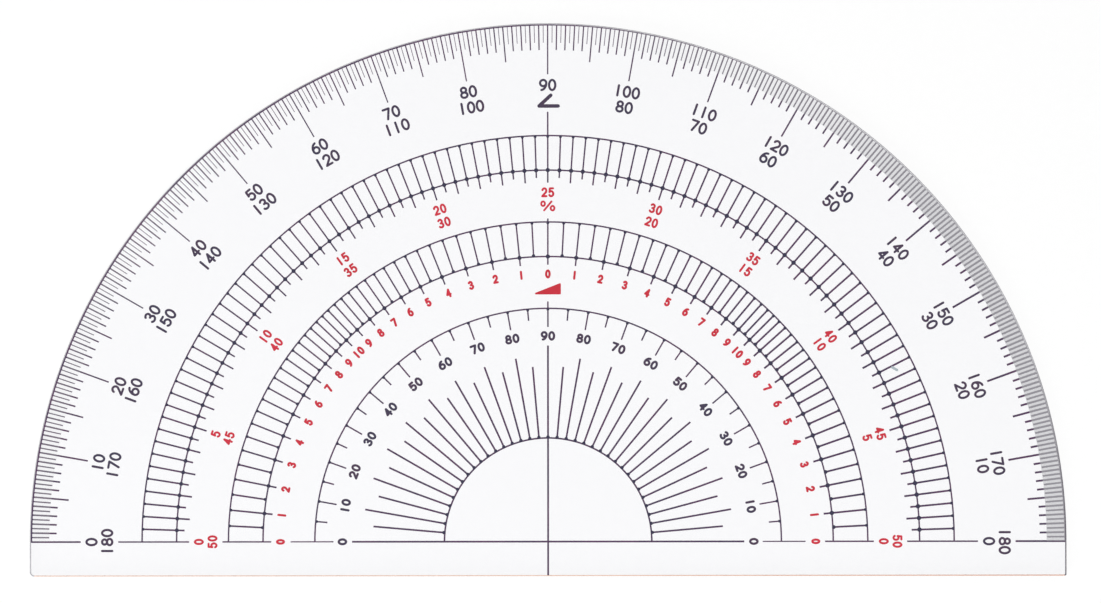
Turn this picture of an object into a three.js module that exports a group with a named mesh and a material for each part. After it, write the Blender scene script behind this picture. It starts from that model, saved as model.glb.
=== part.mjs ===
// Semicircular drawing protractor: a clear flat plate with four printed scales and a fan of lines.
// Millimetres, +Z up. The origin is the centre mark on the plate's underside, +X runs along the
// baseline towards the right and +Y towards the 90 degree mark. The plate lies on its underside.
import * as THREE from 'three';

// Plate
const PLATE_THICKNESS = 1.5;
const EDGE_CHAMFER = 0.1;
const LEFT_CORNER_RADIUS = 0.5;
const RIGHT_CORNER_RADIUS = 0.2;
const STRIP_BELOW_BASELINE = 4;

// Ink: a printed film on the plate's top face
const INK_THICKNESS = 0.025;
const RIM_LINE_WIDTH = 0.18;
const RIM_TICK_WIDTH = 0.145;
const HALF_DEGREE_TICK_WIDTH = 0.075;
const ARC_WIDTH = 0.18; // the arcs between the rim line and the fan
const SPOKE_WIDTH = 0.175; // the rungs and ticks on those arcs
const BASELINE_WIDTH = 0.14; // the baseline between the outer scale and the fan
const FAN_LINE_WIDTH = 0.21;
const FAN_ARC_WIDTH = 0.195;

// The ink has spread on the ticks and rungs near both ends, most of all on the right. It has spread
// further on the fine half-degree ticks, and less on the ladders' rungs.
const RIGHT_INK_SPREAD = 0.095;
const RIGHT_SPREAD_DEGREES = { middle: 22, reach: 75 };
const LEFT_INK_SPREAD = 0.055;
const LEFT_SPREAD_DEGREES = { middle: 180, reach: 40 };
const HALF_TICK_SPREAD_SHARE = 1.6;
const RUNG_SPREAD_SHARE = 0.55;

// The rim line is worn thin on the right
const RIM_LINE_WEAR = 0.12;
const RIM_WEAR_DEGREES = { middle: 37, reach: 85 };

// Fan of lines round the centre mark, a line every five degrees
const FAN_RADIUS = 12;
const FAN_LINE_FIVE = 8.3;
const FAN_LINE_TEN = 9.5;
const FAN_CROSS_EXTRA = 1.2; // how much longer the 0, 90 and 180 degree lines are than the tens

// Inner degree scale: one arc, with ticks inwards
const INNER_NUMERAL_ROOM = 2.15;
const INNER_TICK_TEN = 2.15;
const INNER_TICK_FIVE = 1.35;
const INNER_BASE_STUB = 2.8;
const INNER_TOP_STUB = 0.8;

// Slope scale: a ladder whose rungs stand at rises of so many in ten
const SLOPE_NUMERAL_ROOM = 2.25;
const SLOPE_TICK = 0.95;
const SLOPE_LADDER_WIDTH = 4;
const SLOPE_BASE_STUB = 0.7;
const SLOPE_TOP_STUB = 0.4;

// Per cent scale: a ladder of a hundred equal steps
const PERCENT_NUMERAL_ROOM = 3.85;
const PERCENT_TICK_WHOLE = 1.45;
const PERCENT_TICK_HALF = 0.9;
const PERCENT_LADDER_WIDTH = 4;
const PERCENT_STUB = 2.75;

// Outer degree scale: a line along the rim, with ticks inwards
const OUTER_NUMERAL_ROOM = 4.35;
const OUTER_TICK_TEN = 5.7;
const OUTER_TICK_FIVE = 4.1;
const OUTER_TICK_ONE = 2.9;
const OUTER_TICK_HALF = 2.05;
const RIM_MARGIN = 0.2; // from the middle of the rim line to the rim

// Radii of the arcs, outwards from the centre mark
const FAN_CROSS_REACH = FAN_RADIUS + FAN_LINE_TEN + FAN_CROSS_EXTRA;
const INNER_RADIUS = FAN_CROSS_REACH + INNER_NUMERAL_ROOM + INNER_TICK_TEN;
const SLOPE_INNER_RADIUS = INNER_RADIUS + INNER_BASE_STUB + SLOPE_NUMERAL_ROOM + SLOPE_TICK;
const SLOPE_OUTER_RADIUS = SLOPE_INNER_RADIUS + SLOPE_LADDER_WIDTH;
const PERCENT_INNER_RADIUS =
  SLOPE_OUTER_RADIUS + SLOPE_BASE_STUB + PERCENT_NUMERAL_ROOM + PERCENT_TICK_WHOLE;
const PERCENT_OUTER_RADIUS = PERCENT_INNER_RADIUS + PERCENT_LADDER_WIDTH;
const OUTER_RADIUS = PERCENT_OUTER_RADIUS + PERCENT_STUB + OUTER_NUMERAL_ROOM + OUTER_TICK_TEN;
const PLATE_RADIUS = OUTER_RADIUS + RIM_MARGIN;

// Steps of the scales, and how finely round shapes are cut into straight pieces
const HALF_ARC = ARC_WIDTH / 2;
const HALF_FAN_LINE = FAN_LINE_WIDTH / 2;
const HALF_FAN_ARC = FAN_ARC_WIDTH / 2;
const DEGREE = Math.PI / 180;
const HALF_CIRCLE = Math.PI;
const QUARTER_CIRCLE = Math.PI / 2;
const DEGREES_ACROSS = 180;
const PERCENT_STEPS = 100; // half per cents from 0 to 50
const SLOPE_STEPS = 20; // half units of rise, from 0 to 10 in ten
const ARC_STEP = 2 * DEGREE;
const RIM_SEGMENTS = 120;
const CORNER_SEGMENTS = 4;

const clearPlastic = new THREE.MeshStandardMaterial({
  name: 'clear_plastic',
  color: 0xf7f9fb,
  roughness: 0.06,
  metalness: 0,
  transparent: true,
  opacity: 0.3,
});

const blackInk = new THREE.MeshStandardMaterial({
  name: 'black_ink',
  color: 0x25223a,
  roughness: 0.5,
  metalness: 0,
});

// Points and edges of the line work

/** The point at a radius on one side of the spoke at an angle. A positive offset is anticlockwise. */
function beside(angle, radius, offset) {
  const along = Math.sqrt(radius * radius - offset * offset);
  return new THREE.Vector2(
    along * Math.cos(angle) - offset * Math.sin(angle),
    along * Math.sin(angle) + offset * Math.cos(angle),
  );
}

/** The same value at every angle. */
const everywhere = (value) => () => value;

/** The points of a round line strictly between two angles. radiusAt gives its radius at an angle. */
function arcBetween(radiusAt, from, to) {
  const steps = Math.ceil(Math.abs(to - from) / ARC_STEP);
  return Array.from({ length: Math.max(steps - 1, 0) }, (_, index) => {
    const angle = from + ((to - from) * (index + 1)) / steps;
    return beside(angle, radiusAt(angle), 0);
  });
}

/**
 * One edge of a half-circle line, from the first spoke to the last. radiusAt gives its radius at an
 * angle, and side is 'inner' or 'outer'. A spoke whose end on that side passes the edge pokes out of
 * it. A spoke's half is half its width.
 */
function arcEdge(radiusAt, spokes, side) {
  const first = spokes[0];
  const last = spokes.at(-1);
  const passes = ({ angle, inner, outer }) =>
    side === 'outer' ? outer > radiusAt(angle) : inner < radiusAt(angle);
  const stops = spokes.filter((spoke) => passes(spoke) || spoke === first || spoke === last);
  return stops.flatMap((spoke, index) => {
    const points = index > 0 ? arcBetween(radiusAt, stops[index - 1].angle, spoke.angle) : [];
    const radius = radiusAt(spoke.angle);
    const poking = passes(spoke);
    if (poking ? spoke !== first : spoke === first) {
      points.push(beside(spoke.angle, radius, -spoke.half));
    }
    if (poking) {
      points.push(beside(spoke.angle, spoke[side], -spoke.half));
      points.push(beside(spoke.angle, spoke[side], spoke.half));
    }
    if (poking ? spoke !== last : spoke === last) {
      points.push(beside(spoke.angle, radius, spoke.half));
    }
    return points;
  });
}

/** The clear window of a ladder between two neighbouring rungs. */
function ladderWindow(innerRadius, outerRadius, here, next) {
  const low = innerRadius + HALF_ARC;
  const high = outerRadius - HALF_ARC;
  return new THREE.Path([
    beside(here.angle, low, here.half),
    ...arcBetween(everywhere(low), here.angle, next.angle),
    beside(next.angle, low, -next.half),
    beside(next.angle, high, -next.half),
    ...arcBetween(everywhere(high), next.angle, here.angle),
    beside(here.angle, high, here.half),
  ]);
}

/** A printed piece on the plate's top face, from its flat outline. */
function printed(name, shape) {
  const geometry = new THREE.ExtrudeGeometry(shape, { depth: INK_THICKNESS, bevelEnabled: false });
  const mesh = new THREE.Mesh(geometry, blackInk);
  mesh.name = name;
  mesh.position.z = PLATE_THICKNESS;
  return mesh;
}

/**
 * A printed scale: one arc line, or two that the spokes join as a ladder. halfAt gives half the
 * width of its lines at an angle.
 */
function printedScale(name, innerRadius, outerRadius, spokes, halfAt = everywhere(HALF_ARC)) {
  const outline = [
    ...arcEdge((angle) => outerRadius + halfAt(angle), spokes, 'outer'),
    ...arcEdge((angle) => innerRadius - halfAt(angle), spokes, 'inner').reverse(),
  ];
  const shape = new THREE.Shape(outline);
  if (outerRadius > innerRadius) {
    shape.holes = spokes
      .slice(1)
      .map((next, index) => ladderWindow(innerRadius, outerRadius, spokes[index], next));
  }
  return printed(name, shape);
}

// The plate

function clearPlate() {
  const rim = new THREE.EllipseCurve(0, 0, PLATE_RADIUS, PLATE_RADIUS, 0, HALF_CIRCLE);
  const corner = (side, radius, start) => {
    const x = side * (PLATE_RADIUS - radius);
    const y = radius - STRIP_BELOW_BASELINE;
    return new THREE.EllipseCurve(x, y, radius, radius, start, start + QUARTER_CIRCLE);
  };
  const shape = new THREE.Shape([
    ...rim.getPoints(RIM_SEGMENTS),
    ...corner(-1, LEFT_CORNER_RADIUS, HALF_CIRCLE).getPoints(CORNER_SEGMENTS),
    ...corner(1, RIGHT_CORNER_RADIUS, -QUARTER_CIRCLE).getPoints(CORNER_SEGMENTS),
  ]);
  const geometry = new THREE.ExtrudeGeometry(shape, {
    depth: PLATE_THICKNESS - 2 * EDGE_CHAMFER,
    bevelThickness: EDGE_CHAMFER,
    bevelSize: EDGE_CHAMFER,
    bevelOffset: -EDGE_CHAMFER,
    bevelSegments: 1,
  });
  const mesh = new THREE.Mesh(geometry, clearPlastic);
  mesh.name = 'clear_plate';
  mesh.position.z = EDGE_CHAMFER;
  return mesh;
}

// The scales

/** 1 at the middle of a stretch of the scales, falling smoothly to 0 at its reach on both sides. */
function within(angle, { middle, reach }) {
  const away = Math.min(Math.abs(angle / DEGREE - middle) / reach, 1);
  return (1 + Math.cos(Math.PI * away)) / 2;
}

/** Half a spoke's width: what is drawn, and its share of how far the ink has spread there. */
function inkedHalf(angle, width, spreadShare) {
  const spread =
    RIGHT_INK_SPREAD * within(angle, RIGHT_SPREAD_DEGREES) +
    LEFT_INK_SPREAD * within(angle, LEFT_SPREAD_DEGREES);
  return (width + spread * spreadShare) / 2;
}

/** The width of a rung or tick, which is finer where it is a stretch of the baseline. */
const spokeWidth = (onBaseline) => (onBaseline ? BASELINE_WIDTH : SPOKE_WIDTH);

function rimLineHalf(angle) {
  return (RIM_LINE_WIDTH - RIM_LINE_WEAR * within(angle, RIM_WEAR_DEGREES)) / 2;
}

function outerDegreeScale() {
  const spokes = Array.from({ length: 2 * DEGREES_ACROSS + 1 }, (_, halves) => {
    const degrees = halves / 2;
    const angle = degrees * DEGREE;
    let tick = OUTER_TICK_HALF;
    let half = inkedHalf(angle, HALF_DEGREE_TICK_WIDTH, HALF_TICK_SPREAD_SHARE);
    if (Number.isInteger(degrees)) {
      tick = OUTER_TICK_ONE;
      half = inkedHalf(angle, RIM_TICK_WIDTH, 1);
    }
    if (degrees % 10 === 0) tick = OUTER_TICK_TEN;
    else if (degrees % 5 === 0) tick = OUTER_TICK_FIVE;
    return { angle, inner: OUTER_RADIUS - tick, outer: OUTER_RADIUS, half };
  });
  return printedScale('outer_degree_scale', OUTER_RADIUS, OUTER_RADIUS, spokes, rimLineHalf);
}

function percentScale() {
  const spokes = Array.from({ length: PERCENT_STEPS + 1 }, (_, step) => {
    const tick = step % 2 === 0 ? PERCENT_TICK_WHOLE : PERCENT_TICK_HALF;
    const onCrossLine = step % (PERCENT_STEPS / 2) === 0;
    const angle = (step / PERCENT_STEPS) * HALF_CIRCLE;
    return {
      angle,
      inner: PERCENT_INNER_RADIUS - tick,
      outer: PERCENT_OUTER_RADIUS + (onCrossLine ? PERCENT_STUB : 0),
      half: inkedHalf(angle, spokeWidth(step % PERCENT_STEPS === 0), RUNG_SPREAD_SHARE),
    };
  });
  return printedScale('percent_scale', PERCENT_INNER_RADIUS, PERCENT_OUTER_RADIUS, spokes);
}

/** The rungs of the slope ladder from 0 to 10 in ten, mirrored at 45 degrees and again at 90. */
function slopeAngles() {
  const eighth = Array.from({ length: SLOPE_STEPS + 1 }, (_, step) => ({
    angle: Math.atan(step / SLOPE_STEPS),
    whole: step % 2 === 0,
  }));
  const mirrored = (rungs, total) =>
    rungs.slice(0, -1).reverse().map(({ angle, whole }) => ({ angle: total - angle, whole }));
  const quarter = [...eighth, ...mirrored(eighth, QUARTER_CIRCLE)];
  return [...quarter, ...mirrored(quarter, HALF_CIRCLE)];
}

function slopeScale() {
  const angles = slopeAngles();
  const spokes = angles.map(({ angle, whole }, index) => {
    const onBaseline = index === 0 || index === angles.length - 1;
    let stub = onBaseline ? SLOPE_BASE_STUB : 0;
    if (index === (angles.length - 1) / 2) stub = SLOPE_TOP_STUB;
    return {
      angle,
      inner: SLOPE_INNER_RADIUS - (whole ? SLOPE_TICK : 0),
      outer: SLOPE_OUTER_RADIUS + stub,
      half: inkedHalf(angle, spokeWidth(onBaseline), RUNG_SPREAD_SHARE),
    };
  });
  return printedScale('slope_scale', SLOPE_INNER_RADIUS, SLOPE_OUTER_RADIUS, spokes);
}

function innerDegreeScale() {
  const fives = DEGREES_ACROSS / 5;
  const spokes = Array.from({ length: fives + 1 }, (_, step) => {
    const tick = step % 2 === 0 ? INNER_TICK_TEN : INNER_TICK_FIVE;
    const onBaseline = step === 0 || step === fives;
    let stub = onBaseline ? INNER_BASE_STUB : 0;
    if (step === fives / 2) stub = INNER_TOP_STUB;
    return {
      angle: step * 5 * DEGREE,
      inner: INNER_RADIUS - tick,
      outer: INNER_RADIUS + stub,
      half: spokeWidth(onBaseline) / 2,
    };
  });
  return printedScale('inner_degree_scale', INNER_RADIUS, INNER_RADIUS, spokes);
}

// The fan, with the baseline and the centre line running through the centre mark

function centreFan() {
  const fives = DEGREES_ACROSS / 5;
  const spokes = Array.from({ length: fives + 1 }, (_, step) => {
    let outer = FAN_RADIUS + (step % 2 === 0 ? FAN_LINE_TEN : FAN_LINE_FIVE);
    if (step % (fives / 2) === 0) outer = FAN_CROSS_REACH;
    return { angle: step * 5 * DEGREE, inner: FAN_RADIUS, outer, half: HALF_FAN_LINE };
  });
  const foot = EDGE_CHAMFER - STRIP_BELOW_BASELINE;
  const half = HALF_FAN_LINE;
  const shape = new THREE.Shape([
    ...arcEdge(everywhere(FAN_RADIUS + HALF_FAN_ARC), spokes, 'outer'),
    new THREE.Vector2(-half, -half),
    new THREE.Vector2(-half, foot),
    new THREE.Vector2(half, foot),
    new THREE.Vector2(half, -half),
  ]);
  const inside = FAN_RADIUS - HALF_FAN_ARC;
  shape.holes = [0, QUARTER_CIRCLE].map((from) => {
    const to = from + QUARTER_CIRCLE;
    const crossing = beside((from + to) / 2, Math.SQRT2 * half, 0);
    return new THREE.Path([
      crossing,
      beside(from, inside, half),
      ...arcBetween(everywhere(inside), from, to),
      beside(to, inside, -half),
    ]);
  });
  return printed('centre_fan', shape);
}

const protractor = new THREE.Group();
protractor.name = 'protractor';
protractor.add(
  clearPlate(),
  outerDegreeScale(),
  percentScale(),
  slopeScale(),
  innerDegreeScale(),
  centreFan(),
);

export default protractor;
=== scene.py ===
"""Looks of a clear half-round protractor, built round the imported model's frame.

Metres, in the model's own frame: the origin is the centre mark on the plate's underside, +X runs
along the baseline, +Y towards the 90 degree mark and +Z up out of the printed face.
"""

import math
from collections import Counter

import bpy
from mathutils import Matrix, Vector, geometry


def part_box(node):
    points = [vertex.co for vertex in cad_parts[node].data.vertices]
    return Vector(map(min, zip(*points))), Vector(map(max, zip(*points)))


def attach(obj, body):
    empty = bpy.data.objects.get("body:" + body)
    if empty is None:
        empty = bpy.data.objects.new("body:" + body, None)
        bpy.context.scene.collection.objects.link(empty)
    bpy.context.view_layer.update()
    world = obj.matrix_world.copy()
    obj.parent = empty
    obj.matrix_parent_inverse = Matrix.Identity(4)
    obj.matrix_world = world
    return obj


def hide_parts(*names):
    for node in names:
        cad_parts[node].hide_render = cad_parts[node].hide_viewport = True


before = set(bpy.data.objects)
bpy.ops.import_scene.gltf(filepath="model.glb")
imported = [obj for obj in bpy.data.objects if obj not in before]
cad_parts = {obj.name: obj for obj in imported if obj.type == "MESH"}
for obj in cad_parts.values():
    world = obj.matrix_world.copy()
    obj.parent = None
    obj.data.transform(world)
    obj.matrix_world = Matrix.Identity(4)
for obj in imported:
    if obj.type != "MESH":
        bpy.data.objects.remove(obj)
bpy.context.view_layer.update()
MM = 0.001
ROOT = "root"

# The photograph: where the centre mark is in it, its scale and its tilt
PHOTO_WIDTH, PHOTO_HEIGHT = 1101, 603
PHOTO_CENTRE_MARK = (547.9, 541.6)
PHOTO_PIXELS_PER_MM = 8.64
PHOTO_TILT = -0.001

# The camera looks straight down through a long lens
LENS_MM = 300
SENSOR_MM = 36

# The room: the floor lies just under the plate, and the rays that see it find it white
FLOOR_GAP = 0.06 * MM
FLOOR_HALF = 4.0
FLOOR_SHADES = (0.80, 0.80, 0.80), (0.84, 0.84, 0.84)
FLOOR_ROUGHNESS = 0.4
FLOOR_LIFT = 0.27
SEEN = ("Camera", "Glossy", "Transmission")
WORLD_LIGHT = 0.35
KEY_SPOT, KEY_SIZE, KEY_POWER = (-0.6, -1.0, 0.95), 1.1, 21.3
FILL_SPOT, FILL_SIZE, FILL_POWER = (0.6, 0.9, 1.0), 1.0, 3.2

# The plate, and its finishes in the order of its materials
PLATE_LOW, PLATE_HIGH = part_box("clear_plate")
PLATE_RADIUS = PLATE_HIGH.x
PLATE_FOOT = PLATE_LOW.y
EDGE_ROUND = 0.1 * MM
LEFT_CORNER = 0.5 * MM
RIGHT_CORNER = 0.2 * MM
RIM_STEPS = 720
CORNER_STEPS = 10
ROUND_STEPS = 5
WALL_LOOP = 0.06 * MM
FACE, RIM, FOOT, WALL = range(4)

# The printed film's height, and how far the plate reaches into it
FILM_LOW, FILM_HIGH = (corner.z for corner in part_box("centre_fan"))
FILM_SINK = 0.005 * MM

# Looks of the acrylic. Most values of a noise lie in the range MOST_NOISE
MOST_NOISE = (0.3, 0.7)
ACRYLIC_IOR = 1.49
FACE_SHADES = (0.930, 0.931, 0.946), (0.946, 0.947, 0.962)
WALL_SHADES = (0.80, 0.83, 0.85), (0.93, 0.945, 0.955)
FACE_CLEAR, WALL_CLEAR, EDGE_CLEAR = 1.0, 0.55, 0.3
FACE_LIGHT, EDGE_LIGHT = 1.0, 0.95
FACE_HAZE, FACE_ROUGHNESS = (0.35, 0.7), (0.012, 0.035)
WALL_ROUGHNESS = (0.10, 0.28)
EDGE_ROUGHNESS = (0.22, 0.42)
WAVE_HEIGHT = 0.004 * MM
WALL_CUT = 0.012 * MM
EDGE_CUT = 0.02 * MM
UPRIGHT, LONG_UPRIGHT = (1, 1, 0.04), (1, 1, 0.02)

# The faces' scratches: direction in degrees, length and width in millimetres, and rarity
SCRATCHES = [(24, 9.0, 0.07, 0.17), (-51, 14.0, 0.09, 0.18)]
SCRATCH_START, SCRATCH_SOFTNESS = 0.5, 0.02
SCRATCH_ROUGHNESS = 0.09
SCRATCH_DEPTH = 0.0006 * MM

# Looks of the ink: the noise that takes it from its first shade to its second, the grain at which
# it is thin and how worn it looks there, and how rough and high the grain is
INK_IOR = 1.5
INK_DRIFT = (0.35, 0.65)
INK_THIN = (0.62, 0.74, 0.0, 0.5)
INK_ROUGHNESS = (0.42, 0.62)
INK_HEIGHT = 0.004 * MM

# Painted shade on the band of ticks at the rim, darkest at the right end: the band's radii, the rim
# line's inner radius and their softness, in millimetres. Then, for each side, the cosines of the
# angle at the centre mark at which it begins and is fullest, and how full it is at both
RIM_BAND = (57.75, 59.85)
RIM_LINE_INSIDE = 59.7
BAND_SOFTNESS = 0.1
BAND_SHADE_RIGHT, BAND_SHADE_LEFT = (0.0, 0.75, 0, 1), (-0.75, -1.0, 0, 0.45)
# Painted shade: the grey laid on the top face in the band, the grey that the ticks' ink is blended
# to there, and the power that narrows the face's grey
BAND_SHADE_GREY, BAND_SHADED_INK = (0.46, 0.46, 0.48), (0.28, 0.27, 0.30)
BAND_SHADE_POWER = 2


# Node materials
class Tree:
    """A new material's or world's node tree, with short calls to fill it."""

    def __init__(self, owner):
        owner.use_nodes = True
        self.tree = owner.node_tree
        self.tree.nodes.clear()

    def add(self, kind, inputs=None, output=0, **settings):
        node = self.tree.nodes.new(kind)
        for name, value in settings.items():
            setattr(node, name, value)
        for name, value in (inputs or {}).items():
            socket = node.inputs[name]
            if isinstance(value, bpy.types.NodeSocket):
                self.tree.links.new(value, socket)
            else:
                socket.default_value = value
        return node.outputs[output]

    def math(self, operation, *values):
        return self.add("ShaderNodeMath", dict(enumerate(values)), operation=operation)

    def place(self, scale=(1, 1, 1), turn=0.0):
        """Places on the object, in millimetres, turned about Z and stretched by scale."""
        where = self.add("ShaderNodeTexCoord", output="Object")
        size = tuple(factor / MM for factor in scale)
        turned = self.add("ShaderNodeMapping", {"Vector": where, "Rotation": (0, 0, turn)})
        return self.add("ShaderNodeMapping", {"Vector": turned, "Scale": size})

    def along(self, axis):
        """Places along one axis of the object, in millimetres."""
        return self.add("ShaderNodeSeparateXYZ", {"Vector": self.place()}, output=axis)

    def noise(self, where, per_mm, detail, rough=0.5):
        return self.add(
            "ShaderNodeTexNoise",
            {"Vector": where, "Scale": per_mm, "Detail": detail, "Roughness": rough},
            output="Fac",
        )

    def spread(self, value, low, high, to_low, to_high):
        """Takes the range low to high of a value to the range to_low to to_high."""
        return self.add(
            "ShaderNodeMapRange",
            {"Value": value, "From Min": low, "From Max": high, "To Min": to_low, "To Max": to_high},
        )

    def blend(self, factor, first, second):
        """A colour between two, as mixed by the factor."""
        node = self.tree.nodes.new("ShaderNodeMix")
        node.data_type = "RGBA"
        colours = [socket for socket in node.inputs if socket.type == "RGBA"]
        self.tree.links.new(factor, node.inputs[0])
        for socket, colour in zip(colours, (first, second)):
            if isinstance(colour, bpy.types.NodeSocket):
                self.tree.links.new(colour, socket)
            else:
                socket.default_value = (*colour, 1)
        return next(socket for socket in node.outputs if socket.type == "RGBA")

    def bump(self, height, distance, under=None):
        """Normals of a relief that is distance high, on top of another bump where one is given."""
        inputs = {"Height": height, "Distance": distance}
        if under is not None:
            inputs["Normal"] = under
        return self.add("ShaderNodeBump", inputs)

    def surface(self, shader, kind="ShaderNodeOutputMaterial"):
        self.tree.links.new(shader, self.tree.nodes.new(kind).inputs["Surface"])

    def rays(self, *kinds):
        """1 for rays of any of these kinds, and 0 for the others."""
        path = self.tree.nodes.new("ShaderNodeLightPath")
        found = path.outputs[f"Is {kinds[0]} Ray"]
        for kind in kinds[1:]:
            found = self.math("MAXIMUM", found, path.outputs[f"Is {kind} Ray"])
        return found

    def acrylic(self, tint, rough, normal, clear, light):
        """Clear plastic. The share light of what falls on it goes on to what lies below."""
        shader = self.add(
            "ShaderNodeBsdfPrincipled",
            {
                "Base Color": tint,
                "Roughness": rough,
                "Normal": normal,
                "IOR": ACRYLIC_IOR,
                "Transmission Weight": clear,
            },
        )
        way = self.add("ShaderNodeBsdfTransparent", {"Color": (light, light, light, 1)})
        passing = self.rays("Shadow", "Diffuse")
        self.surface(self.add("ShaderNodeMixShader", {0: passing, 1: shader, 2: way}))


def new_material(name):
    material = bpy.data.materials.new(name)
    return material, Tree(material)


def scratches(tree, degrees, length, width, rarity):
    """Fine straight marks that run one way: 1 in a mark and 0 beside it."""
    where = tree.place(scale=(1 / length, 1 / width, 1), turn=math.radians(degrees))
    lines = tree.noise(where, per_mm=1.0, detail=1.0)
    start = SCRATCH_START + rarity
    return tree.spread(lines, start, start + SCRATCH_SOFTNESS, 0.0, 1.0)


def smudged(tree):
    """How much painted shade lies on the rim's band of ticks: 1 at its right end, less at its
    left end, and 0 elsewhere. On the left it stops short of the rim line.
    """
    where = tree.place()
    away = tree.add("ShaderNodeVectorMath", {0: where}, output="Value", operation="LENGTH")
    x, y = (tree.add("ShaderNodeSeparateXYZ", {"Vector": where}, output=axis) for axis in "XY")
    cosine = tree.math("DIVIDE", x, away)
    short_of_line = tree.spread(away, RIM_LINE_INSIDE, RIM_LINE_INSIDE - BAND_SOFTNESS, 0, 1)
    left = tree.math("MULTIPLY", tree.spread(cosine, *BAND_SHADE_LEFT), short_of_line)
    share = tree.math("MAXIMUM", tree.spread(cosine, *BAND_SHADE_RIGHT), left)
    share = tree.math("MULTIPLY", share, tree.spread(y, 0, BAND_SOFTNESS, 0, 1))
    for edge, outwards in zip(RIM_BAND, (-BAND_SOFTNESS, BAND_SOFTNESS)):
        share = tree.math("MULTIPLY", share, tree.spread(away, edge + outwards, edge, 0, 1))
    return share


def acrylic_face():
    """The polished faces: handling scratches, a faint haze and a very slow waviness.

    The top face, which carries the print, has painted shade on the rim's band of ticks too.
    """
    material, tree = new_material("clear_acrylic_face")
    marks = tree.math("MAXIMUM", *(scratches(tree, *kind) for kind in SCRATCHES))
    haze = tree.noise(tree.place(), per_mm=0.12, detail=4.0)
    hazy = tree.spread(haze, *FACE_HAZE, *FACE_ROUGHNESS)
    rough = tree.math("ADD", hazy, tree.math("MULTIPLY", marks, SCRATCH_ROUGHNESS))
    cast = tree.noise(tree.place(), per_mm=0.045, detail=3.0)
    # Painted shade: the top face turns grey in the rim's band of ticks
    band_shade = tree.math("POWER", smudged(tree), BAND_SHADE_POWER)
    on_top = tree.spread(tree.along("Z"), 0, PLATE_HIGH.z / MM, 0, 1)
    band_shade = tree.math("MULTIPLY", band_shade, on_top)
    tint = tree.blend(band_shade, tree.blend(cast, *FACE_SHADES), BAND_SHADE_GREY)
    slow = tree.bump(tree.noise(tree.place(), per_mm=0.06, detail=1.0), WAVE_HEIGHT)
    fine = tree.bump(marks, -SCRATCH_DEPTH, under=slow)
    tree.acrylic(tint, rough, fine, FACE_CLEAR, FACE_LIGHT)
    return material


def cutter_marks(tree):
    """Fine upright marks of the cutter."""
    return tree.noise(tree.place(scale=UPRIGHT), per_mm=5.0, detail=3.0, rough=0.65)


def acrylic_wall():
    """The sawn and polished walls: clear, with the cutter's marks and paler streaks."""
    material, tree = new_material("clear_acrylic_wall")
    marks = cutter_marks(tree)
    streaks = tree.noise(tree.place(scale=LONG_UPRIGHT), per_mm=0.9, detail=4.0, rough=0.6)
    rough = tree.spread(marks, *MOST_NOISE, *WALL_ROUGHNESS)
    tint = tree.blend(streaks, *WALL_SHADES)
    tree.acrylic(tint, rough, tree.bump(marks, WALL_CUT), WALL_CLEAR, EDGE_LIGHT)
    return material


def acrylic_edge(name, first, second, right, start_share):
    """A broken edge beside a wall: frosted, in fine marks, and blended to another colour at the
    right end.

    start_share is where that begins, as a share of the way from the centre to the right end.
    """
    material, tree = new_material(name)
    marks = cutter_marks(tree)
    rough = tree.spread(marks, *MOST_NOISE, *EDGE_ROUGHNESS)
    radius = PLATE_RADIUS / MM
    to_right = tree.spread(tree.along("X"), start_share * radius, radius, 0, 1)
    # The right end's colour: painted shade on the rim edge, a deeper orange on the foot edge
    tint = tree.blend(to_right, tree.blend(marks, first, second), right)
    tree.acrylic(tint, rough, tree.bump(marks, EDGE_CUT), EDGE_CLEAR, EDGE_LIGHT)
    return material


def ink(name, first, second, worn):
    """Dried screen ink: two shades in drifts, a dry grain, paler where it is thin, and greyed in the
    rim's painted shade.
    """
    material, tree = new_material(name)
    drift = tree.noise(tree.place(), per_mm=0.35, detail=3.0)
    drift = tree.spread(drift, *INK_DRIFT, 0.0, 1.0)
    grain = tree.noise(tree.place(), per_mm=14.0, detail=3.0, rough=0.6)
    thin = tree.spread(grain, *INK_THIN)
    colour = tree.blend(thin, tree.blend(drift, first, second), worn)
    # Painted shade: in the rim's band of ticks the ink is blended to the same flat grey
    colour = tree.blend(smudged(tree), colour, BAND_SHADED_INK)
    shader = tree.add(
        "ShaderNodeBsdfPrincipled",
        {
            "Base Color": colour,
            "Roughness": tree.spread(grain, *MOST_NOISE, *INK_ROUGHNESS),
            "Normal": tree.bump(grain, INK_HEIGHT),
            "IOR": INK_IOR,
        },
    )
    tree.surface(shader)
    return material


def floor_material():
    """Plain white paper, with a lift that makes what is seen of it clear white."""
    material, tree = new_material("floor_paper")
    fibre = tree.noise(tree.place(), per_mm=1.2, detail=5.0, rough=0.7)
    shade = tree.blend(fibre, *FLOOR_SHADES)
    matt = tree.add("ShaderNodeBsdfDiffuse", {"Color": shade, "Roughness": FLOOR_ROUGHNESS})
    lift = tree.math("MULTIPLY", tree.rays(*SEEN), FLOOR_LIFT)
    glow = tree.add("ShaderNodeEmission", {"Color": (1, 1, 1, 1), "Strength": lift})
    tree.surface(tree.add("ShaderNodeAddShader", {0: matt, 1: glow}))
    return material


# Meshes
def new_piece(name, points, faces, materials, finishes=()):
    """A piece of flat faces. Where finishes are given, they are the faces' materials, and all but
    the first of the materials is smooth.
    """
    mesh = bpy.data.meshes.new(name)
    mesh.from_pydata(points, [], faces)
    for material in materials:
        mesh.materials.append(material)
    for polygon, finish in zip(mesh.polygons, finishes):
        polygon.material_index = finish
        polygon.use_smooth = finish != FACE
    mesh.validate()
    mesh.update()
    piece = bpy.data.objects.new(name, mesh)
    bpy.context.scene.collection.objects.link(piece)
    return piece


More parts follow.
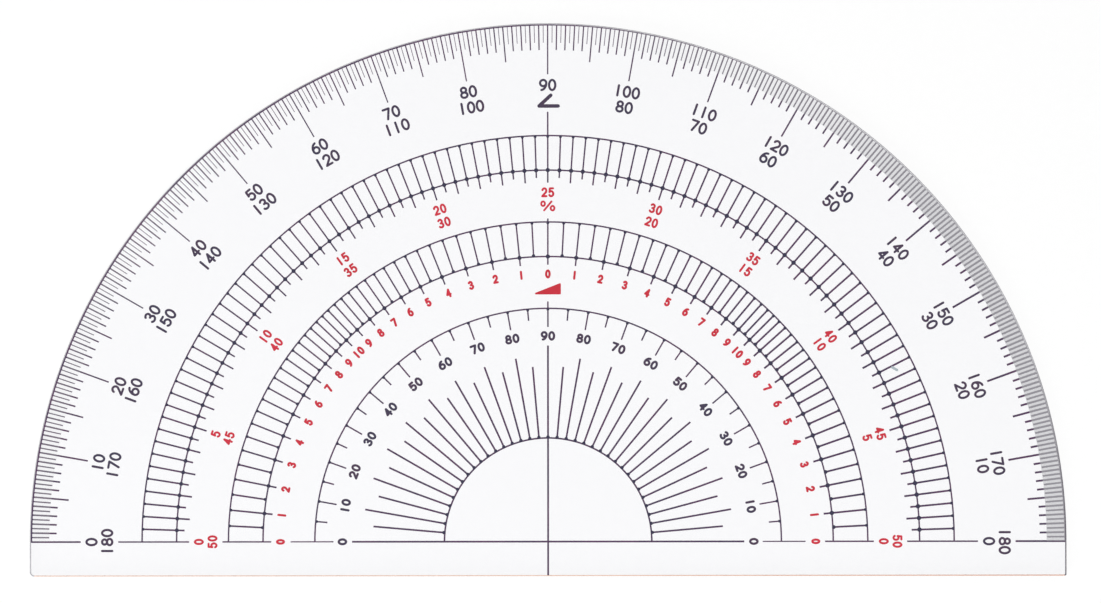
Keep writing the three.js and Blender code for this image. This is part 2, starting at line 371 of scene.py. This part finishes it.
def arc(x, y, radius, start, stop, steps):
    """Points of an arc, in degrees anticlockwise from +X, with both its ends."""
    turns = [math.radians(start + (stop - start) * step / steps) for step in range(steps + 1)]
    return [(x + radius * math.cos(turn), y + radius * math.sin(turn)) for turn in turns]


def plate_outline(inset):
    """The plate's outline, moved inwards. Point n and the n-th from the end are level."""
    side, foot = PLATE_RADIUS - inset, PLATE_FOOT + inset
    left, right = LEFT_CORNER - inset, RIGHT_CORNER - inset
    return (
        arc(side - right, foot + right, right, 270, 360, CORNER_STEPS)
        + arc(0, 0, side, 0, 180, RIM_STEPS)
        + arc(left - side, foot + left, left, 180, 270, CORNER_STEPS)
    )


def clear_plate():
    """The plate with rounded edges. Its top face reaches a little into the printed film.

    The walls, the rounded edges along the rim and those along the straight foot differ in finish.
    """
    top = FILM_LOW + FILM_SINK
    turns = [math.pi / 2 * step / ROUND_STEPS for step in range(ROUND_STEPS + 1)]
    rounding = [
        (EDGE_ROUND * (1 - math.sin(turn)), EDGE_ROUND * (1 - math.cos(turn))) for turn in turns
    ]
    rounding.append((0, EDGE_ROUND + WALL_LOOP))
    rings = [(inset, top - drop) for inset, drop in rounding]
    rings += [(inset, PLATE_LOW.z + drop) for inset, drop in reversed(rounding)]
    points = [(x, y, z) for inset, z in rings for x, y in plate_outline(inset)]
    count = len(points) // len(rings)
    bands = len(rings) - 1
    faces, finishes = [], []
    for band in range(bands):
        upright = ROUND_STEPS <= band < bands - ROUND_STEPS
        start, below = band * count, (band + 1) * count
        for here in range(count):
            over = (here + 1) % count
            faces.append((start + here, below + here, below + over, start + over))
            finishes.append(WALL if upright else RIM if over else FOOT)
    last = bands * count
    for here in range(count // 2 - 1):
        level = count - 1 - here
        faces.append((here, here + 1, level - 1, level))
        faces.append((last + level, last + level - 1, last + here + 1, last + here))
    if count % 2:
        middle = count // 2
        faces.append((middle - 1, middle, middle + 1))
        faces.append((last + middle + 1, last + middle, last + middle - 1))
    finishes += [FACE] * (len(faces) - len(finishes))
    materials = [ACRYLIC_FACE, RIM_EDGE, FOOT_EDGE, ACRYLIC_WALL]
    plate = new_piece("acrylic_plate", points, faces, materials, finishes)
    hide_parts("clear_plate")
    return plate


# Numerals: single pen strokes on a cell from -0.5 to 0.5 each way
OVAL_STEP_DEGREES, OVAL_STEPS_AT_LEAST = 15, 4


def oval(x, y, wide, high, start=0, stop=360):
    steps = max(OVAL_STEPS_AT_LEAST, round(abs(stop - start) / OVAL_STEP_DEGREES))
    return [(x + wide * right, y + high * up) for right, up in arc(0, 0, 1, start, stop, steps)]


SIX = [oval(0, -0.19, 0.5, 0.31), oval(0.36, -0.19, 0.86, 0.69, 95, 180)]
GLYPHS = {
    "0": [oval(0, 0, 0.5, 0.5)],
    "1": [[(0, 0.5), (0, -0.5)]],
    "2": [oval(0, 0.2, 0.48, 0.3, 165, -38) + [(-0.5, -0.5), (0.5, -0.5)]],
    "3": [oval(-0.04, 0.26, 0.42, 0.24, 150, -90), oval(-0.02, -0.24, 0.5, 0.26, 90, -150)],
    "4": [[(0.22, -0.5), (0.22, 0.5), (-0.5, -0.2), (0.5, -0.2)]],
    "5": [[(0.4, 0.5), (-0.34, 0.5), (-0.42, 0.02)] + oval(-0.02, -0.18, 0.5, 0.32, 135, -150)],
    "6": SIX,
    "7": [[(-0.5, 0.5), (0.5, 0.5), (-0.15, -0.5)]],
    "8": [oval(0, 0.26, 0.41, 0.24), oval(0, -0.24, 0.5, 0.26)],
    "9": [[(-x, -y) for x, y in stroke] for stroke in SIX],
    "%": [
        [(0.28, 0.5), (-0.28, -0.5)],
        oval(-0.36, 0.25, 0.14, 0.25),
        oval(0.36, -0.25, 0.14, 0.25),
    ],
}
CORNER_TURN = math.radians(40)
CAP_STEPS = 12
CLOSED_WITHIN = 1e-6
MITRE_COSINE = 0.5
FACES_INSIDE_OUTLINES, WELD_WITHIN = 1, 1e-5


def runs(points):
    """Cuts a stroke at its sharp corners, into smooth runs."""
    cut, found = 0, []
    for index in range(1, len(points) - 1):
        before = Vector(points[index]) - Vector(points[index - 1])
        after = Vector(points[index + 1]) - Vector(points[index])
        if before.angle(after) > CORNER_TURN:
            found.append(points[cut:index + 1])
            cut = index
    return found + [points[cut:]]


def pen_faces(strokes, pen):
    """Flat faces that the pen covers: a band along each run, and a round dot at each of its ends."""
    half, faces = pen / 2, []
    for stroke in strokes:
        for run in runs([Vector(point) for point in stroke]):
            closed = len(run) > 3 and (run[0] - run[-1]).length < CLOSED_WITHIN
            ways = [(after - before).normalized() for before, after in zip(run, run[1:])]
            sides = []
            for index, point in enumerate(run):
                before = ways[index - 1] if index or closed else ways[0]
                after = ways[index % len(ways)] if index < len(ways) or closed else ways[-1]
                way = (before + after).normalized()
                reach = half / max(way.dot(after), MITRE_COSINE)
                normal = Vector((-way.y, way.x)) * reach
                sides.append((point + normal, point - normal))
            if closed:
                sides[-1] = sides[0]
            ends = [] if closed else [(run[0], ways[0]), (run[-1], ways[-1])]
            for index, way in enumerate(ways):
                (left, right), (next_left, next_right) = sides[index:index + 2]
                if min((next_left - left).dot(way), (next_right - right).dot(way)) <= 0:
                    here, there = run[index:index + 2]
                    normal = Vector((-way.y, way.x)) * half
                    left, right = here + normal, here - normal
                    next_left, next_right = there + normal, there - normal
                    ends += [(here, way), (there, way)]
                faces.append([left, right, next_right, next_left])
            for end, way in ends:
                start = math.degrees(math.atan2(way.x, -way.y))
                dot = arc(end.x, end.y, half, start, start + 360, CAP_STEPS)[:-1]
                faces.append([Vector(point) for point in dot])
    return faces


def covered(triangle, covers):
    """Whether the middle of a triangle is in one of the pen's convex faces."""
    middle = sum(triangle, Vector((0, 0))) / 3
    for cover in covers:
        turns = [
            (over - here).cross(middle - here) for here, over in zip(cover, cover[1:] + cover[:1])
        ]
        if min(turns) >= 0 or max(turns) <= 0:
            return True
    return False


def pen_shape(strokes, pen, fills=()):
    """The union of what the pen covers and of convex fills: points, triangles, and its edges."""
    points, outlines = [], []
    for face in pen_faces(strokes, pen) + [[Vector(point) for point in fill] for fill in fills]:
        outlines.append(list(range(len(points), len(points) + len(face))))
        points += face
    joined = geometry.delaunay_2d_cdt(points, [], outlines, FACES_INSIDE_OUTLINES, WELD_WITHIN)
    flat, _, triangles = joined[:3]
    covers = [[points[index] for index in outline] for outline in outlines]
    triangles = [face for face in triangles if covered([flat[index] for index in face], covers)]
    sides = Counter()
    for face in triangles:
        for here, over in zip(face, face[1:] + face[:1]):
            sides[here, over] += 1
    border = [(here, over) for here, over in sides if (over, here) not in sides]
    return flat, triangles, border


def glyph_strokes(name, wide, high, pen):
    return [
        [(x * (wide - pen), y * (high - pen)) for x, y in stroke] for stroke in GLYPHS[name]
    ]


class Film:
    """One printed piece: flat shapes of ink, each placed by a point and an upward direction."""

    def __init__(self, name, material, slot, rise=0.0):
        self.name, self.material, self.slot = name, material, slot
        self.levels = (FILM_HIGH + rise, FILM_LOW + rise)
        self.points, self.faces, self.known = [], [], {}

    def stamp(self, shape, centre, up):
        """Adds a shape, given in millimetres, with its own upward direction turned to up."""
        flat, triangles, border = shape
        up = Vector(up).normalized()
        right = Vector((up.y, -up.x))
        used = sorted({index for face in triangles for index in face})
        place = {index: len(self.points) + order for order, index in enumerate(used)}
        for level in self.levels:
            for index in used:
                spot = (Vector(centre) + right * flat[index].x + up * flat[index].y) * MM
                self.points.append((spot.x, spot.y, level))
        under = len(used)
        for face in triangles:
            top = [place[index] for index in face]
            self.faces += [top, [index + under for index in reversed(top)]]
        for here, over in border:
            a, b = place[here], place[over]
            self.faces.append([b, a, a + under, b + under])

    def label(self, text, angle, radius, style):
        """A number that stands on a spoke of the given angle, with its top outwards."""
        wide, high, step, pen = style
        out = Vector((math.cos(angle), math.sin(angle)))
        along = Vector((out.y, -out.x))
        for index, name in enumerate(text):
            if (name, style) not in self.known:
                self.known[name, style] = pen_shape(glyph_strokes(name, wide, high, pen), pen)
            shift = (index - (len(text) - 1) / 2) * step
            self.stamp(self.known[name, style], out * radius + along * shift, out)

    def sign(self, strokes, pen, centre, fills=()):
        self.stamp(pen_shape(strokes, pen, fills), centre, (0, 1))

    def finish(self):
        piece = new_piece(self.name, self.points, self.faces, [self.material])
        cast_no_shadow(piece)
        return piece


def cast_no_shadow(film):
    """Light passes the print as if it lay on the paper, so no second image of it falls there."""
    film.visible_shadow = False
    film.visible_diffuse = False


# The scales: degrees, per cent of the half turn, and half steps of rise from none to ten in ten
HALF_TURN, QUARTER_TURN = 180, 90
NUMBERED_DEGREES = 10
FAN_DEGREES = 5
PERCENT_MOST, NUMBERED_PERCENT, PERCENT_STEPS = 50, 5, 100
SLOPE_HALVES = 20

# Radii of the scales' arcs and of their numbers' rows, in millimetres
FAN_ARC = 12
INNER_ARC = 27
SLOPE_ARCS = (33, 37)
PERCENT_ARCS = (43, 47)
OUTER_ROWS = (52.85, 51.04)
PERCENT_ROWS = (40.43, 38.85)
SLOPE_ROW = 30.98
INNER_ROW = 23.81

# Width, height, step and pen of the numerals, in millimetres
OUTER_STYLE = (0.99, 1.44, 1.04, 0.27)
PERCENT_STYLE = (0.73, 1.16, 0.8, 0.25)
PERCENT_SIGN_STYLE = (1.75, 1.26, 0, 0.23)
SLOPE_STYLE = (0.66, 1.06, 0.7, 0.265)
INNER_STYLE = (0.82, 1.12, 0.87, 0.275)

# Radii of the dots of ink, halfway round and how much more at the right end, in millimetres
CROSSING_DOT = (0.255, 0.015)
RUNG_DOT = (0.205, 0.02)
OUTER_DOT = (0.175, 0.005)
FAN_DOT = (0.205, 0.0)
DOT_SIDES = 12
DOT_RISE = 0.003 * MM

# Where a line ends at an arc, its dot of ink lies this far from the arc, on the line's side
TEE_SHIFT = 0.115

# The drawn signs and the stray mark: where they are, their strokes and their pens, in millimetres
SIGN_PEN = 0.42
ANGLE_SIGN = (0, 51.0)
ANGLE_SIGN_LEGS = [(1.2, -0.58), (-1.0, -0.58), (0.35, 0.66)]
SLOPE_SIGN = (0, 29.26)
SLOPE_SIGN_HALF = (1.4, 0.55)
STRAY_MARK, STRAY_PEN = [(39.85, 20.13), (40.4, 19.82)], 0.3


def numerals():
    outer = Film("outer_degree_numerals", BLACK_INK, "black_ink")
    inner = Film("inner_degree_numerals", BLACK_INK, "black_ink")
    for degrees in range(0, HALF_TURN + 1, NUMBERED_DEGREES):
        angle = math.radians(HALF_TURN - degrees)
        outer.label(str(degrees), angle, OUTER_ROWS[0], OUTER_STYLE)
        if degrees != QUARTER_TURN:
            outer.label(str(HALF_TURN - degrees), angle, OUTER_ROWS[1], OUTER_STYLE)
        text = str(min(degrees, HALF_TURN - degrees))
        inner.label(text, math.radians(degrees), INNER_ROW, INNER_STYLE)
    percent = Film("percent_numerals", RED_INK, "red_ink")
    percent_sign = Film("percent_sign", RED_INK, "red_ink")
    for number in range(0, PERCENT_MOST + 1, NUMBERED_PERCENT):
        angle = math.radians(HALF_TURN - HALF_TURN * number / PERCENT_MOST)
        percent.label(str(number), angle, PERCENT_ROWS[0], PERCENT_STYLE)
        if 2 * number != PERCENT_MOST:
            percent.label(str(PERCENT_MOST - number), angle, PERCENT_ROWS[1], PERCENT_STYLE)
    percent_sign.label("%", math.pi / 2, PERCENT_ROWS[1], PERCENT_SIGN_STYLE)
    slope = Film("slope_numerals", RED_INK, "red_ink")
    for angle, halves in slope_rungs():
        if halves % 2 == 0:
            slope.label(str(halves // 2), angle, SLOPE_ROW, SLOPE_STYLE)
    return [outer, percent, percent_sign, slope, inner]


def slope_rungs():
    """Angle of each slope rung and its rise in ten, in halves: from 0 to 20 and back, twice."""
    for quarter in (0, math.pi / 2):
        for step in range(2 * SLOPE_HALVES):
            halves = min(step, 2 * SLOPE_HALVES - step)
            lean = math.atan(halves / SLOPE_HALVES)
            yield quarter + (lean if step <= SLOPE_HALVES else math.pi / 2 - lean), halves
    yield math.pi, 0


def crossing_dots():
    """Ink that has gathered where the lines meet, most where a tick runs on inwards.

    Where a line ends at the arc, the ink lies in the two corners beside that line. There is none
    on the baseline.
    """
    dots = Film("crossing_dots", DOT_INK, "black_ink", DOT_RISE)
    places = []
    for step in range(1, PERCENT_STEPS):
        angle = math.pi * step / PERCENT_STEPS
        places.append((angle, PERCENT_ARCS[0], CROSSING_DOT))
        places.append((angle, PERCENT_ARCS[1] - TEE_SHIFT, OUTER_DOT))
    for angle, halves in list(slope_rungs())[1:-1]:
        if halves % 2:
            places.append((angle, SLOPE_ARCS[0] + TEE_SHIFT, RUNG_DOT))
        else:
            places.append((angle, SLOPE_ARCS[0], CROSSING_DOT))
        places.append((angle, SLOPE_ARCS[1] - TEE_SHIFT, OUTER_DOT))
    for degrees in range(FAN_DEGREES, HALF_TURN, FAN_DEGREES):
        angle = math.radians(degrees)
        places.append((angle, INNER_ARC - TEE_SHIFT, OUTER_DOT))
        places.append((angle, FAN_ARC + TEE_SHIFT, FAN_DOT))
    for angle, away, (middling, more) in places:
        out = Vector((math.cos(angle), math.sin(angle)))
        dot = arc(0, 0, middling + more * out.x, 0, 360, DOT_SIDES)[:-1]
        dots.stamp(pen_shape([], 0, [dot]), out * away, out)
    return dots


def stray_mark():
    """A short smear of thin ink that the printing left between two rungs of the per cent ladder."""
    mark = Film("stray_ink_mark", THIN_INK, "black_ink", DOT_RISE)
    mark.sign([STRAY_MARK], STRAY_PEN, (0, 0))
    return mark


def signs():
    """Two plain drawn signs: an angle under the 90, and a slope under the top 0."""
    angle = Film("angle_sign", BLACK_INK, "black_ink")
    angle.sign([ANGLE_SIGN_LEGS], SIGN_PEN, ANGLE_SIGN)
    slope = Film("slope_sign", RED_INK, "red_ink")
    wide, high = SLOPE_SIGN_HALF
    wedge = [(-wide, -high), (wide, -high), (wide, high)]
    slope.sign([wedge + wedge[:1]], SIGN_PEN / 2, SLOPE_SIGN, [wedge])
    return [angle, slope]


# The room
def make_floor():
    level = PLATE_LOW.z - FLOOR_GAP
    corners = [(-1, -1), (1, -1), (1, 1), (-1, 1)]
    points = [(x * FLOOR_HALF, y * FLOOR_HALF, level) for x, y in corners]
    new_piece("floor", points, [(0, 1, 2, 3)], [floor_material()])


def make_world():
    world = bpy.data.worlds.new("plain_room")
    bpy.context.scene.world = world
    tree = Tree(world)
    strength = tree.spread(tree.rays(*SEEN), 0, 1, WORLD_LIGHT, 1)
    light = tree.add("ShaderNodeBackground", {"Color": (1, 1, 1, 1), "Strength": strength})
    tree.surface(light, "ShaderNodeOutputWorld")


def make_lamp(name, spot, size, power):
    """A square soft lamp that faces the centre mark."""
    lamp = bpy.data.lights.new(name, "AREA")
    lamp.size, lamp.energy = size, power
    holder = bpy.data.objects.new(name, lamp)
    holder.location = spot
    holder.rotation_euler = Vector(spot).to_track_quat("Z", "Y").to_euler()
    bpy.context.scene.collection.objects.link(holder)


def make_camera():
    """Straight above the middle of the photograph, at the height that gives its scale."""
    lens = bpy.data.cameras.new("camera")
    lens.lens, lens.sensor_width = LENS_MM, SENSOR_MM
    width = PHOTO_WIDTH / PHOTO_PIXELS_PER_MM * MM
    away = width * LENS_MM / SENSOR_MM
    mark_x, mark_y = PHOTO_CENTRE_MARK
    holder = bpy.data.objects.new("camera", lens)
    holder.location = (
        (PHOTO_WIDTH / 2 - mark_x) / PHOTO_PIXELS_PER_MM * MM,
        (mark_y - PHOTO_HEIGHT / 2) / PHOTO_PIXELS_PER_MM * MM,
        FILM_HIGH + away,
    )
    holder.rotation_euler = (0, 0, PHOTO_TILT)
    bpy.context.scene.collection.objects.link(holder)
    bpy.context.scene.camera = holder


make_camera()
ACRYLIC_FACE, ACRYLIC_WALL = acrylic_face(), acrylic_wall()
# The rim edge's near-black right end is painted shade
RIM_EDGE = acrylic_edge(
    "clear_acrylic_rim_edge",
    (0.34, 0.33, 0.36),
    (0.56, 0.55, 0.58),
    right=(0.07, 0.058, 0.08),
    start_share=0.93,
)
FOOT_EDGE = acrylic_edge(
    "clear_acrylic_foot_edge",
    (0.66, 0.38, 0.27),
    (0.82, 0.58, 0.47),
    right=(0.62, 0.28, 0.17),
    start_share=0.0,
)
BLACK_INK = ink(
    "black_screen_ink", (0.021, 0.0155, 0.048), (0.042, 0.017, 0.050), (0.10, 0.085, 0.13)
)
LINE_INK = ink(
    "black_screen_ink_lines", (0.036, 0.016, 0.058), (0.070, 0.018, 0.072), (0.13, 0.09, 0.15)
)
DOT_INK = ink(
    "black_screen_ink_dots", (0.005, 0.003, 0.030), (0.009, 0.005, 0.035), (0.050, 0.042, 0.070)
)
THIN_INK = ink("thin_screen_ink", (0.36, 0.43, 0.47), (0.46, 0.53, 0.56), (0.60, 0.66, 0.68))
RED_INK = ink("red_screen_ink", (0.62, 0.018, 0.045), (0.55, 0.012, 0.030), (0.70, 0.12, 0.14))
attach(clear_plate(), ROOT)
for film in numerals() + signs() + [crossing_dots(), stray_mark()]:
    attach(film.finish(), ROOT)
for name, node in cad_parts.items():
    if name != "clear_plate":
        node.data.materials.clear()
        node.data.materials.append(LINE_INK)
        cast_no_shadow(node)
make_floor()
make_world()
make_lamp("key", KEY_SPOT, KEY_SIZE, KEY_POWER)
make_lamp("fill", FILL_SPOT, FILL_SIZE, FILL_POWER)
bpy.context.scene.view_settings.view_transform = "Standard"
